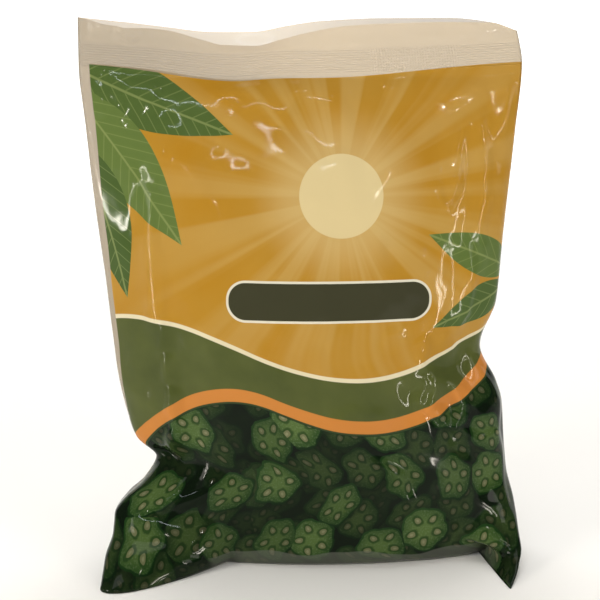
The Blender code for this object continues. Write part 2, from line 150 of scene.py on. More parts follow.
# The studio, in metres. A lamp has its place, what it points at, its size, its share of the key power and its
# tint. The narrow and the tiny ones make the glints on the film.
WARM, PALE, WHITE = (1.0, 0.94, 0.84), (1.0, 0.95, 0.87), (1.0, 0.99, 0.97)
LAMPS = (
    ("soft_left", (-0.85, -0.78, 0.92), (0, 0, 0.12), (0.55, 0.55), 0.08, (1.0, 0.96, 0.90)),
    ("window", (-0.25, -1.10, 0.92), (0, 0, 0.22), (0.55, 0.018), 0.44, (0.86, 0.93, 1.0)),
    ("strip_left", (-0.80, -0.62, 0.27), (0, 0, 0.12), (0.020, 0.46), 0.44, WARM),
    ("strip_right", (0.72, -0.72, 0.27), (0, 0, 0.12), (0.020, 0.46), 0.34, (1.0, 0.93, 0.82)),
    ("panel_left", (-0.92, -0.55, 0.42), (0, 0, 0.12), (0.22, 0.50), 0.50, PALE),
    ("panel_right", (0.85, -0.55, 0.46), (0, 0, 0.12), (0.22, 0.50), 0.34, PALE),
    ("low_left", (-0.40, -0.26, 0.075), (0, 0, 0.10), (0.012, 0.13), 0.085, WARM),
    ("low_right", (0.33, -0.33, 0.075), (0, 0, 0.10), (0.012, 0.13), 0.070, (1.0, 0.93, 0.82)),
    ("spot_high", (0.15, -1.0, 1.25), (0, 0, 0.2), (0.04, 0.04), 0.10, (1.0, 0.93, 0.80)),
    ("spot_left", (-0.45, -0.95, 0.42), (0, 0, 0.15), (0.020, 0.020), 0.07, (1.0, 0.95, 0.86)),
    ("spot_right", (0.40, -1.0, 0.55), (0, 0, 0.15), (0.020, 0.020), 0.07, (1.0, 0.95, 0.86)),
    ("top", (0.0, 0.1, 1.5), (0, 0, 0.12), (1.2, 1.0), 1.75, WHITE),
    ("floor", (0.0, 0.75, 1.2), (0, 0.3, 0), (1.6, 0.5), 1.9, WHITE),
    ("paper", (0.0, 0.55, 1.3), (0, 2.0, 0.6), (1.8, 0.5), 1.3, (1.0, 1.0, 1.0)),
)
# Half the paper's width, its length, where it starts in front, where it bends up, and the bend's radius.
SWEEP_HALF, SWEEP_LONG, SWEEP_START, SWEEP_BEND, SWEEP_RADIUS = 3.0, 5.2, -2.2, 1.2, 0.8
# How bright the room behind the paper looks.
ROOM_SEEN = 0.9
# The camera looks at this height over the floor, in millimetres.
LOOK_AT = 126


def between(t, step, start, end, slope0, slope1):
    """A smooth curve's value at the share t of a step, from its values and slopes at both ends."""
    return ((1 + 2 * t) * (1 - t) ** 2 * start + t * (1 - t) ** 2 * step * slope0
            + t * t * (3 - 2 * t) * end + t * t * (t - 1) * step * slope1)


def curve(stations, at):
    """A curve without overshoot through (place, value) stations, at an array of places."""
    xs = np.array([s[0] for s in stations], float)
    ys = np.array([s[1] for s in stations], float)
    at = np.clip(np.asarray(at, float), xs[0], xs[-1])
    slope = np.diff(ys) / np.diff(xs)
    tangent = np.concatenate([[slope[0]], np.zeros(len(xs) - 2), [slope[-1]]])
    product = slope[:-1] * slope[1:]
    total = np.where(product > 0, slope[:-1] + slope[1:], 1.0)
    tangent[1:-1] = np.where(product > 0, 2 * product / total, 0.0)
    i = np.clip(np.searchsorted(xs, at, side="right") - 1, 0, len(xs) - 2)
    h = xs[i + 1] - xs[i]
    return between((at - xs[i]) / h, h, ys[i], ys[i + 1], tangent[i], tangent[i + 1])


def hump(x, centre, width):
    return np.exp(-(((x - centre) / width) ** 2))


def rise(x, low, high):
    t = np.clip((x - low) / (high - low), 0.0, 1.0)
    return t * t * (3 - 2 * t)


def middle(x, z):
    """Where the fold line between front and back runs, in Y: ears forward at the floor, a wavy welded top."""
    left, right = curve(LEFT_FOLD, z), curve(RIGHT_FOLD, z)
    u = (x - left) / (right - left)
    ear_left = curve(LEFT_PULL, z) * (1 - np.clip(u / 0.3, 0, 1) ** 1.3)
    reach = 0.05 + 0.10 * rise(z, 3, 14)
    ear_right = curve(RIGHT_PULL, z) * np.maximum(1 - np.maximum(1 - u, 0.0) / reach, 0.0)
    wave = 2.2 * np.sin(2 * math.pi * (1.15 * u + 0.1)) * rise(z, 185, 245)
    return -ear_left - ear_right + wave


def depths(x, z):
    """Front and back distance of the film from the fold line's Y."""
    left, right = curve(LEFT_FOLD, z), curve(RIGHT_FOLD, z)
    u = np.clip((x - left) / (right - left), 0.0, 1.0)
    body = np.sin(math.pi * u ** 1.06).clip(1e-9) ** curve(POINTED, z)
    body = np.where((u <= 0) | (u >= 1), 0.0, body)
    front, back = curve(FRONT_DEPTH, z) * body, curve(BACK_DEPTH, z) * body
    ends = rise(u, 0, 0.09) * rise(1 - u, 0, 0.09)
    ridge_x = -56 - 14 * rise(z, 20, 165)
    front = front + 2.4 * hump(x, ridge_x, 6) * rise(z, 25, 50) * (1 - rise(z, 150, 190)) * ends
    front = front - 9 * hump(z, 48 + 0.15 * (x + 70), 8) * (1 - rise(x, -66, -38)) * ends
    front = front - 5 * hump(z, 101 + 0.35 * (x - 86), 10) * rise(x, 48, 88) * ends
    back = back - 4 * hump(z, 100, 12) * rise(x, 50, 88) * ends
    least = np.where(z > 200, 0.5 * ends, 0.0)
    return np.maximum(front, least), np.maximum(back, least)


def film_rows(under, body, neck, weld, flap):
    """Each row's v, its share of the way out under the base, its heights, and its share of the flaps."""
    rows = []
    for k in range(under):
        share = k / under
        rows.append((UNDER_V + (FRONT_V - UNDER_V) * share, share,
                     lambda u, side, s=share: 0.6 - 0.5 * s ** 3 + 0 * u, 0))
    for k in range(body):
        z = NECK_Z * k / body
        rows.append((FRONT_V + (NECK_V - FRONT_V) * k / body, 1.0,
                     lambda u, side, z=z: z + FLOOR_GAP + 0 * u, 0))
    for k in range(neck):
        share = k / neck
        rows.append((NECK_V + (WELD_V - NECK_V) * share, 1.0,
                     lambda u, side, s=share: NECK_Z + (curve(WELD_FOOT, u) - NECK_Z) * s, 0))
    for k in range(weld):
        share = k / weld
        rows.append((WELD_V + (FLAP_V - WELD_V) * share, 1.0,
                     lambda u, side, s=share: curve(WELD_FOOT, u) + WELD_HEIGHT * s, 0))
    for k in range(flap + 1):
        share = k / flap

        def height(u, side, s=share):
            edge = curve(FRONT_EDGE if side < 0 else BACK_EDGE, u)
            weld = curve(WELD_FOOT, u) + WELD_HEIGHT
            return weld + (np.maximum(edge, weld + 2.5) - weld) * s
        rows.append((FLAP_V + (TOP_V - FLAP_V) * share, 1.0, height, share))
    return rows


def even_out(points, count):
    """The same line with count + 1 points at even steps along it."""
    steps = np.linalg.norm(np.diff(points, axis=0), axis=1)
    along = np.concatenate([[0], np.cumsum(steps)])
    at = np.linspace(0, along[-1], count + 1)
    return np.stack([np.interp(at, along, points[:, i]) for i in range(3)], axis=1)


def film_lines(half, *rows):
    """The film's points, row by row, from the back's middle round the left fold and all the way round."""
    u = 0.5 - 0.5 * np.cos(np.linspace(0, math.pi, 600))
    lines, vs = [], []
    for v, share, height, lean in film_rows(*rows):
        sides = []
        for side in (-1, 1):
            z = height(u, side)
            zs = np.clip(z, 0, 253) if share >= 1 else np.zeros_like(u)
            left, right = curve(LEFT_FOLD, zs), curve(RIGHT_FOLD, zs)
            x = left + (right - left) * u
            depth = depths(x, zs)[0 if side < 0 else 1] * share
            depth[[0, -1]] = 0
            open_up = (4.0 if side < 0 else 1.6) * lean ** 1.4 * rise(u, 0, 0.12) * rise(1 - u, 0, 0.12)
            y = middle(x, zs) + side * (depth + open_up)
            sides.append(even_out(np.stack([x, y, z], axis=1), half))
        front, back = sides
        seam = half // 2
        lines.append(np.concatenate([back[seam::-1], front[1:-1], back[:seam - 1:-1]]))
        vs.append(v)
    return np.array(lines), np.array(vs)


def front_columns(lines):
    """The columns that run over the front, from the left fold to the right fold."""
    quarter = (lines.shape[1] - 1) // 4
    return slice(quarter, 3 * quarter + 1)


def outward(lines):
    """The film's normal at each point, pointing out of the bag."""
    along = np.gradient(lines, axis=0)
    closed = np.concatenate([lines[:, -2:-1], lines, lines[:, 1:2]], axis=1)
    across = closed[:, 2:] - closed[:, :-2]
    normal = np.cross(across, along)
    return normal / np.maximum(np.linalg.norm(normal, axis=2, keepdims=True), 1e-9)


def facets(round_it, up, pitch, tall, seed):
    """Random flat facets with sharp edges, between -1 and 1, that close on themselves round the film."""
    chance = np.random.default_rng(seed)
    count = max(round(ROUND / pitch), 3)
    step, rise_by = ROUND / count, pitch * tall
    places, heights = [], []
    for row in range(int(LONG / rise_by) + 3):
        shift = 0.5 * (row % 2)
        for column in range(count):
            x = (column + shift + chance.uniform(-0.32, 0.32)) * step
            y = (row - 1 + chance.uniform(-0.32, 0.32)) * rise_by
            high = chance.uniform(-1, 1)
            for turn in (-ROUND, 0, ROUND):
                if -2 * step < x + turn < ROUND + 2 * step:
                    places.append(Vector((x + turn, y)))
                    heights.append(high)
    verts, _edges, faces, origin, _e, _f = geometry.delaunay_2d_cdt(places, [], [], 0, 1e-6)
    high = [heights[source[0]] for source in origin]
    out = np.zeros((len(up), len(round_it)))
    for face in faces:
        (x0, y0), (x1, y1), (x2, y2) = (verts[i] for i in face[:3])
        area = (y1 - y2) * (x0 - x2) + (x2 - x1) * (y0 - y2)
        if abs(area) < 1e-6:
            continue
        c0, c1 = np.searchsorted(round_it, [min(x0, x1, x2) - 1e-3, max(x0, x1, x2) + 1e-3])
        r0, r1 = np.searchsorted(up, [min(y0, y1, y2) - 1e-3, max(y0, y1, y2) + 1e-3])
        if c0 == c1 or r0 == r1:
            continue
        x, y = np.meshgrid(round_it[c0:c1], up[r0:r1])
        a = ((y1 - y2) * (x - x2) + (x2 - x1) * (y - y2)) / area
        b = ((y2 - y0) * (x - x2) + (x0 - x2) * (y - y2)) / area
        c = 1 - a - b
        inside = (a > -1e-4) & (b > -1e-4) & (c > -1e-4)
        value = a * high[face[0]] + b * high[face[1]] + c * high[face[2]]
        part = out[r0:r1, c0:c1]
        part[inside] = value[inside]
    return out


def crease_lift(across, v):
    """How far the named creases and dents lift each point of the front."""
    lift = np.zeros_like(v)
    for x0, y0, x1, y1, width, height in CREASES:
        length = math.hypot(x1 - x0, y1 - y0)
        dx, dy = (x1 - x0) / length, (y1 - y0) / length
        along = (across - x0) * dx + (v - y0) * dy
        bend = 0.035 * length * np.sin(along / length * 6.0 + x0)
        off = -(across - x0) * dy + (v - y0) * dx + bend
        reach = np.where(off > 0, STEEP * width, GENTLE * width)
        fade = rise(along, -0.1 * length, 0.25 * length) * rise(length - along, -0.1 * length, 0.25 * length)
        lift += height * fade * np.maximum(1 - np.abs(off) / reach, 0.0)
    for x0, y0, size, deep in DENTS:
        lift -= deep * np.maximum(1 - np.hypot(across - x0, 1.1 * (v - y0)) / size, 0.0) ** 1.25
    return lift


def swell(s, v):
    """Broad, soft unevenness that closes on itself round the film."""
    broad = np.zeros_like(s)
    turn, radius = 2 * math.pi / ROUND, 63.7
    for place, distance in np.ndenumerate(s):
        a = distance * turn
        ring = Vector((radius * math.cos(a), radius * math.sin(a), 0.8 * v[place]))
        broad[place] = noise.noise(ring / 21.0)
    return broad


def from_nearest_fold(s):
    """The distance round the film to the nearer of the two side folds."""
    return LEFT_FOLD_S - np.abs(np.mod(s - LEFT_FOLD_S, SIDE) - LEFT_FOLD_S)


def crumple(lines, vs, amount):
    """The film with the creases that the photograph shows on the front, and with loose facets all round."""
    round_it = np.linspace(0, ROUND, lines.shape[1])
    s, v = np.meshgrid(round_it, vs)
    across = s - LEFT_FOLD_S
    from_fold = from_nearest_fold(s)
    loose = 0.24 + 0.36 * (1 - rise(from_fold, 12, 62)) + 0.40 * rise(v, 215, 256)
    loose += 0.45 * hump(across, 162, 30) * hump(v, 125, 42) + 0.2 * hump(across, 24, 22) * hump(v, 84, 34)
    rough = (0.25 + loose) * 1.35 * facets(round_it, vs, 40.0, 1.8, 5)
    rough = rough + 0.17 * loose * facets(round_it, vs, 19.0, 1.7, 8)
    filled = 1 - rise(v, 130, 190)
    rough = rough + swell(s, v) * (0.9 * filled + 0.3)
    free = rise(v, FRONT_V + 1, FRONT_V + 12) * (1 - rise(v, WELD_V - 9, WELD_V - 1))
    creased = rise(v, FRONT_V + 1, FRONT_V + 8) * (1 - rise(v, WELD_V - 3, WELD_V))
    creased = np.maximum(creased, rise(v, FLAP_V, FLAP_V + 2))
    away = rise(from_fold, 0.0, 6.0)
    loosened = (crease_lift(across, v) * creased + rough * free) * amount * away
    # The two loose flaps over the weld ripple a little, most at the front's left corner.
    flap = rise(v, FLAP_V, TOP_V) * rise(from_fold, 0, 14)
    ripple = 0.5 * facets(round_it, vs, 23.0, 3.0, 12) + 0.8 * np.sin(s / 13.0) * (across < SIDE)
    ripple = ripple + 0.7 * hump(across, 14, 22) * facets(round_it, vs, 8.0, 0.8, 21)
    return lines + outward(lines) * (loosened + flap * ripple)[:, :, None]


def refine(coarse, from_round, from_up, to_round, to_up):
    """A coarse grid's values on a finer grid of the same film, on smooth curves in both directions."""
    def along(values, old, new):
        i = np.clip(np.searchsorted(old, new, side="right") - 1, 0, len(old) - 2)
        before, after = np.maximum(i - 1, 0), np.minimum(i + 2, len(old) - 1)
        h = old[i + 1] - old[i]
        t = ((new - old[i]) / h)[:, None]
        h = h[:, None]
        slope0 = (values[i + 1] - values[before]) / (old[i + 1] - old[before])[:, None]
        slope1 = (values[after] - values[i]) / (old[after] - old[i])[:, None]
        return between(t, h, values[i], values[i + 1], slope0, slope1)

    rows, columns = coarse.shape[:2]
    tall = along(coarse.reshape(rows, -1), from_up, to_up).reshape(len(to_up), columns, 3)
    wide = along(tall.transpose(1, 0, 2).reshape(columns, -1), from_round, to_round)
    return wide.reshape(len(to_round), len(to_up), 3).transpose(1, 0, 2)


def film_places(mesh):
    """Where each point of a film mesh lies on the flat film, in s and v, from its UV map."""
    corner = np.zeros(len(mesh.loops) * 2)
    mesh.uv_layers["film"].data.foreach_get("uv", corner)
    owner = np.zeros(len(mesh.loops), int)
    mesh.loops.foreach_get("vertex_index", owner)
    place = np.zeros((len(mesh.vertices), 2))
    place[owner] = corner.reshape(-1, 2)
    return place[:, 0] * ROUND, place[:, 1] * LONG


def points(mesh):
    """A mesh's points as an array."""
    flat_list = np.zeros(len(mesh.vertices) * 3)
    mesh.vertices.foreach_get("co", flat_list)
    return flat_list.reshape(-1, 3)


def add_flat_shape(film, s, v):
    """A shape key of the film laid flat, as two layers that meet at the folds."""
    film.shape_key_add(name="bag", from_mix=False)
    flat = film.shape_key_add(name="flat", from_mix=False)
    x = np.where((s > LEFT_FOLD_S) & (s < RIGHT_FOLD_S), s - SIDE, np.where(s <= LEFT_FOLD_S, -s, ROUND - s))
    edge = 0.01
    front = (s > LEFT_FOLD_S + edge) & (s < RIGHT_FOLD_S - edge)
    back = (s < LEFT_FOLD_S - edge) | (s > RIGHT_FOLD_S + edge)
    y = np.where(front, -0.3, np.where(back, 0.3, 0))
    flat.data.foreach_set("co", (np.stack([x, y, v], axis=1) * MM * SIM_SCALE).ravel())
    film.active_shape_key_index = 0
    return flat


def add_cloth(film, s, v):
    """The cloth settings of a film whose flat shape is its rest shape."""
    flat = add_flat_shape(film, s, v)
    free = rise(v, 16, 44) * (1 - rise(v, WELD_V - 10, WELD_V - 1))
    edge = 1 - rise(from_nearest_fold(s), 1, 16)
    held = 1 - free * (1 - HOLD) * (1 - EDGE_HOLD * edge)
    group = film.vertex_groups.new(name="held")
    for index, weight in enumerate(held):
        group.add([index], float(weight), "REPLACE")
    cloth = film.modifiers.new("settle", "CLOTH")
    cloth.point_cache.frame_start, cloth.point_cache.frame_end = 1, SETTLE_FRAMES
    cloth.collision_settings.use_collision = False
    cloth.collision_settings.use_self_collision = False
    film_cloth = cloth.settings
    film_cloth.quality = 8
    film_cloth.mass = 0.05
    film_cloth.tension_stiffness = film_cloth.compression_stiffness = 60
    film_cloth.shear_stiffness = 30
    film_cloth.bending_model = "ANGULAR"
    film_cloth.bending_stiffness = 0.02
    film_cloth.rest_shape_key = flat
    film_cloth.vertex_group_mass = "held"
    film_cloth.pin_stiffness = 1.0
    film_cloth.shrink_min = -0.006
    film_cloth.effector_weights.gravity = 0


def smoothed(grid):
    """The grid with each value averaged with its neighbours, up the film and all the way round it."""
    grid[1:-1] = 0.25 * grid[:-2] + 0.5 * grid[1:-1] + 0.25 * grid[2:]
    ring = grid[:, :-1]
    ring = 0.25 * np.roll(ring, 1, axis=1) + 0.5 * ring + 0.25 * np.roll(ring, -1, axis=1)
    return np.concatenate([ring, ring[:, :1]], axis=1)


def relax(lines, vs):
    """Let the film settle as cloth: its flat size makes it pucker below the weld and round the pinches."""
    rows, columns = lines.shape[:2]
    film = mesh_object("settling_film", film_bmesh(lines * SIM_SCALE, vs))
    mesh = film.data
    s, v = film_places(mesh)
    start = points(mesh)
    add_cloth(film, s, v)
    for step in range(1, SETTLE_FRAMES + 1):
        bpy.context.scene.frame_set(step)
    settled = film.evaluated_get(bpy.context.evaluated_depsgraph_get())
    move = (points(settled.data) - start) / SIM_SCALE / MM
    far = np.linalg.norm(move, axis=1, keepdims=True)
    move = move * np.minimum(1, MOST_MOVE / np.maximum(far, 1e-9))
    grid = np.zeros((rows, columns, 3))
    r = np.searchsorted(vs, v - 1e-3)
    c = np.rint(s / ROUND * (columns - 1)).astype(int)
    grid[r, c] = move
    # The first and the last column are the same line of the film.
    both = c % (columns - 1) == 0
    grid[r[both], 0] = grid[r[both], columns - 1] = move[both]
    bpy.data.objects.remove(film)
    bpy.data.meshes.remove(mesh)
    bpy.context.scene.frame_set(1)
    # Wrinkles finer than the coarse grid can carry are smoothed out.
    return smoothed(smoothed(grid))


def film_bmesh(lines, vs):
    """The flat film as a grid, wrapped to the lines and welded to itself along its edges and the bottom."""
    rows, columns = lines.shape[:2]
    bm = bmesh.new()
    bmesh.ops.create_grid(bm, x_segments=columns - 1, y_segments=rows - 1, size=0.5)
    uv = bm.loops.layers.uv.new("film")
    place = {}
    for vert in bm.verts:
        c = round((vert.co.x + 0.5) * (columns - 1))
        r = round((vert.co.y + 0.5) * (rows - 1))
        place[vert.index] = (r, c)
    for face in bm.faces:
        for loop in face.loops:
            r, c = place[loop.vert.index]
            loop[uv].uv = (c / (columns - 1), vs[r] / LONG)
    for vert in bm.verts:
        r, c = place[vert.index]
        vert.co = (Vector(lines[r, c]) + OFFSET) * MM
    bmesh.ops.remove_doubles(bm, verts=bm.verts, dist=1e-6)
    bmesh.ops.recalc_face_normals(bm, faces=bm.faces)
    return bm


def mesh_object(name, bm, material=None):
    """An object made of a finished bmesh, smooth if it has a material."""
    mesh = bpy.data.meshes.new(name)
    bm.to_mesh(mesh)
    bm.free()
    obj = bpy.data.objects.new(name, mesh)
    bpy.context.scene.collection.objects.link(obj)
    if material:
        mesh.materials.append(material)
        mesh.shade_smooth()
    return obj


def new_piece(name, bm, material):
    piece = mesh_object(name, bm, material)
    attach(piece, "root")
    return piece


# Materials

VALUE, COLOUR = "NodeSocketFloat", "NodeSocketColor"


class Nodes:
    """Short words for the nodes of one tree."""

    def __init__(self, tree):
        self.tree = tree

    def put(self, socket, value):
        if hasattr(value, "is_output"):
            self.tree.links.new(value, socket)
        elif value is not None:
            socket.default_value = value

    def fill(self, node, inputs):
        """Set or link a node's inputs, given by name or in their order."""
        for key, value in inputs.items() if isinstance(inputs, dict) else enumerate(inputs):
            self.put(node.inputs[key], value)

    def add(self, kind, inputs=(), **values):
        node = self.tree.nodes.new(kind)
        for key, value in values.items():
            setattr(node, key, value)
        self.fill(node, inputs)
        return node

    def math(self, operation, a, b=None, c=None, clamp=False):
        return self.add("ShaderNodeMath", (a, b, c), operation=operation, use_clamp=clamp).outputs[0]

    def plus(self, a, b):
        return self.math("ADD", a, b)

    def minus(self, a, b):
        return self.math("SUBTRACT", a, b)

    def times(self, a, b):
        return self.math("MULTIPLY", a, b)

    def over(self, a, b, clamp=False):
        return self.math("DIVIDE", a, b, clamp=clamp)

    def times_plus(self, a, b, c, clamp=False):
        return self.math("MULTIPLY_ADD", a, b, c, clamp)

    def sin(self, a):
        return self.math("SINE", a)

    def size(self, a):
        return self.math("ABSOLUTE", a)

    def long(self, x, y):
        """The length of (x, y)."""
        return self.math("SQRT", self.plus(*(self.math("POWER", self.size(side), 2.0) for side in (x, y))))

    def turned(self, x, y, angle):
        """(x, y) in axes that are turned by an angle."""
        cos, sin = self.math("COSINE", angle), self.sin(angle)
        return (self.plus(self.times(x, cos), self.times(y, sin)),
                self.minus(self.times(y, cos), self.times(x, sin)))

    def step(self, value, low, high):
        """0 below low and 1 above high, smooth between."""
        return self.add("ShaderNodeMapRange", (value, low, high), interpolation_type="SMOOTHSTEP").outputs[0]

    def mix(self, factor, a, b):
        a, b = (value if hasattr(value, "is_output") else (*value, 1.0) for value in (a, b))
        return self.add("ShaderNodeMix", {"Factor": factor, 6: a, 7: b}, data_type="RGBA").outputs[2]

    def noise(self, vector, scale, detail=2.0, rough=0.5):
        inputs = {"Vector": vector, "Scale": scale, "Detail": detail, "Roughness": rough}
        return self.add("ShaderNodeTexNoise", inputs).outputs["Fac"]

    def combine(self, x, y):
        return self.add("ShaderNodeCombineXYZ", (x, y)).outputs[0]

    def split(self, vector):
        return self.add("ShaderNodeSeparateXYZ", (vector,)).outputs

    def bump(self, height, strength, distance):
        inputs = {"Height": height, "Strength": strength, "Distance": distance}
        return self.add("ShaderNodeBump", inputs).outputs[0]

    def group(self, tree, inputs=()):
        return self.add("ShaderNodeGroup", inputs, node_tree=tree)


def kept_group(name, make):
    return bpy.data.node_groups.get(name) or make()


def kept(name, make):
    return bpy.data.materials.get(name) or make()


def new_group(name, inputs, outputs):
    """A node group and the words for it. An input's default says whether it is a number or a colour."""
    tree = bpy.data.node_groups.new(name, "ShaderNodeTree")
    for label, value in inputs.items():
        colour = isinstance(value, tuple)
        socket = tree.interface.new_socket(label, in_out="INPUT", socket_type=COLOUR if colour else VALUE)
        socket.default_value = (*value, 1) if colour else value
    for label, kind in outputs.items():
        tree.interface.new_socket(label, in_out="OUTPUT", socket_type=kind)
    start, end = tree.nodes.new("NodeGroupInput"), tree.nodes.new("NodeGroupOutput")
    return tree, Nodes(tree), start.outputs, end.inputs


def new_material(name):
    """A material, the words for its nodes, and its shader."""
    material = bpy.data.materials.new(name)
    material.use_nodes = True
    tree = material.node_tree
    return material, Nodes(tree), tree.nodes["Principled BSDF"]


def film_place_group():
    """The place on the flat film: across each side, up the bag, which side, and all the way round."""
    outputs = dict.fromkeys(("Across", "Up", "Back", "Round"), VALUE)
    tree, n, _given, out = new_group("film_place", {}, outputs)
    place = n.split(n.add("ShaderNodeUVMap", uv_map="film").outputs[0])
    round_it = n.times(place[0], ROUND)
    from_left = n.math("FLOORED_MODULO", n.minus(round_it, LEFT_FOLD_S), ROUND)
    n.put(out["Round"], round_it)
    n.put(out["Across"], n.math("FLOORED_MODULO", from_left, SIDE))
    n.put(out["Back"], n.math("GREATER_THAN", from_left, SIDE))
    n.put(out["Up"], n.times(place[1], LONG))
    return tree


def leaf_group():
    """A drawn leaf: its shape and its veins, from a point at its stalk."""
    tree, n, given, out = new_group(
        "drawn_leaf",
        {"Across": 0.0, "Up": 0.0, "Stalk X": 0.0, "Stalk Y": 0.0, "Turn": 0.0, "Length": 50.0,
         "Width": 20.0}, {"Shape": VALUE, "Veins": VALUE})
    x, y = n.minus(given["Across"], given["Stalk X"]), n.minus(given["Up"], given["Stalk Y"])
    along, off = n.turned(x, y, given["Turn"])
    aside = n.size(off)
    share = n.over(along, given["Length"], clamp=True)
    bow = n.times(n.sin(n.times(n.math("POWER", share, 0.8), math.pi)), given["Width"])
    edge = n.minus(n.times(bow, 0.5), aside)
    within = n.times(n.math("GREATER_THAN", along, 0.0), n.math("LESS_THAN", along, given["Length"]))
    n.put(out["Shape"], n.times(n.step(edge, -0.05, 0.2), within))
    # The ribs slant off the spine, one every two spacings.
    slant = n.minus(along, n.times(aside, 1.1))
    spacing = 3.2
    ribs = n.minus(1.0, n.step(n.math("PINGPONG", slant, spacing), 0.1, 0.55))
    spine = n.minus(1.0, n.step(aside, 0.25, 0.7))
    n.put(out["Veins"], n.math("MAXIMUM", n.times(ribs, 0.6), spine))
    return tree


def slice_group():
    """Scattered okra slices: five-sided, with a green rind, pale flesh and a seed in each chamber."""
    tree, n, given, out = new_group(
        "okra_slices", {"Across": 0.0, "Up": 0.0, "Pitch": 28.0, "Shift": 0.0, "Size": 0.40},
        {"Colour": COLOUR, "Mask": VALUE, "Shade": VALUE})
    sides = 5
    shift = given["Shift"]
    vector = n.combine(n.plus(given["Across"], shift), n.plus(given["Up"], n.times(shift, 0.7)))
    inputs = {"Vector": vector, "Scale": n.over(1.0, given["Pitch"]), "Randomness": 0.72}
    cells = n.add("ShaderNodeTexVoronoi", inputs, voronoi_dimensions="2D").outputs
    local = n.add("ShaderNodeVectorMath", (vector, cells["Position"]), operation="SUBTRACT")
    x, y, _z = n.split(local.outputs[0])
    squash, jitter, lean = n.add("ShaderNodeSeparateColor", (cells["Color"],)).outputs
    # Each slice is seen a little from the side, turned its own way. About 6.3 radians are a full turn.
    flat_x, flat_y = n.turned(x, y, n.times(lean, 6.3))
    flat_y = n.times(flat_y, n.times_plus(squash, 0.30, 1.0))
    angle = n.plus(n.math("ARCTAN2", flat_y, flat_x), n.times(jitter, 6.3))
    size = n.times(given["Pitch"], n.times_plus(jitter, 0.06, given["Size"]))
    rim = n.times(size, n.times_plus(n.math("COSINE", n.times(angle, float(sides))), 0.055, 1.0))
    # The share of the way from the middle to the rim, with a wobble.
    wobble = n.times_plus(n.noise(vector, 0.16, 3.0), 0.36, 0.82)
    share = n.times(n.over(n.long(flat_x, flat_y), rim), wobble)
    n.put(out["Mask"], n.step(share, 1.012, 0.985))
    n.put(out["Shade"], n.step(share, 1.38, 0.9))
    grain = n.noise(vector, 1.1, 3.0, 0.7)
    glow = n.times_plus(n.over(n.minus(y, x), size), 0.32, 0.5, clamp=True)
    rind = n.mix(glow, (0.004, 0.016, 0.004), (0.020, 0.060, 0.014))
    flesh = n.mix(n.step(share, 0.92, 0.30), (0.018, 0.056, 0.011), (0.082, 0.140, 0.036))
    flesh = n.mix(n.times(glow, 0.30), flesh, (0.15, 0.23, 0.075))
    flesh = n.mix(n.times(n.step(grain, 0.48, 0.72), 0.30), flesh, (0.25, 0.33, 0.17))
    # A chamber with its seed lies at each side, half way out.
    fan = n.math("PINGPONG", n.plus(angle, 12.566), math.pi / sides)
    spread, out_by = n.times(fan, share), n.minus(share, 0.53)

    def oval(tall, wide):
        return n.long(n.over(out_by, tall), n.over(spread, wide))

    flesh = n.mix(n.times(n.step(oval(0.27, 0.22), 1.1, 0.8), 0.8), flesh, (0.018, 0.050, 0.011))
    flesh = n.mix(n.step(oval(0.15, 0.12), 1.08, 0.92), flesh, (0.17, 0.18, 0.085))
    flesh = n.mix(n.times(n.step(oval(0.07, 0.05), 1.3, 0.6), 0.7), flesh, (0.27, 0.275, 0.155))
    whole = n.mix(n.step(share, 0.93, 0.88), rind, flesh)
    n.put(out["Colour"], n.mix(n.times(squash, 0.5), whole, (0.005, 0.018, 0.005)))
    return tree


def draw_sun(n, across, up, given):
    """A golden field with a pale sun and its rays."""
    dx, dy = n.minus(across, SUN[0]), n.minus(up, SUN[1])
    far = n.long(dx, dy)
    soft = n.noise(n.combine(across, up), 0.028, 3.0)
    beam = n.noise(n.combine(n.times(n.math("ARCTAN2", dy, dx), 3.6), 2.0), 1.6, 2.0)
    beam = n.times(n.step(beam, 0.42, 0.62), n.step(far, 150.0, 30.0))
    field = n.mix(n.times_plus(soft, 0.8, -0.1, clamp=True), given["Gold"], given["Pale gold"])
    field = n.mix(n.times(beam, 0.40), field, (0.62, 0.44, 0.16))
    field = n.mix(n.times(n.step(far, 44.0, 18.0), 0.55), field, (0.72, 0.54, 0.24))
    return n.mix(n.step(far, SUN_RADIUS + 0.2, SUN_RADIUS - 0.2), field, (0.76, 0.62, 0.33))


def draw_leaves(n, across, up, field, leaf, green):
    """Leaves that hang in from the top left corner and the right edge."""
    for x, y, turn, long, wide, dim in LEAVES:
        drawn = n.group(leaf, {"Across": across, "Up": up, "Stalk X": x, "Stalk Y": y, "Turn": turn,
                               "Length": long, "Width": wide})
        tint = n.mix(dim, green, (0.035, 0.075, 0.020))
        face = n.mix(n.times(drawn.outputs["Veins"], 0.55), tint, (0.30, 0.36, 0.13))
        field = n.mix(drawn.outputs["Shape"], field, face)
    return field


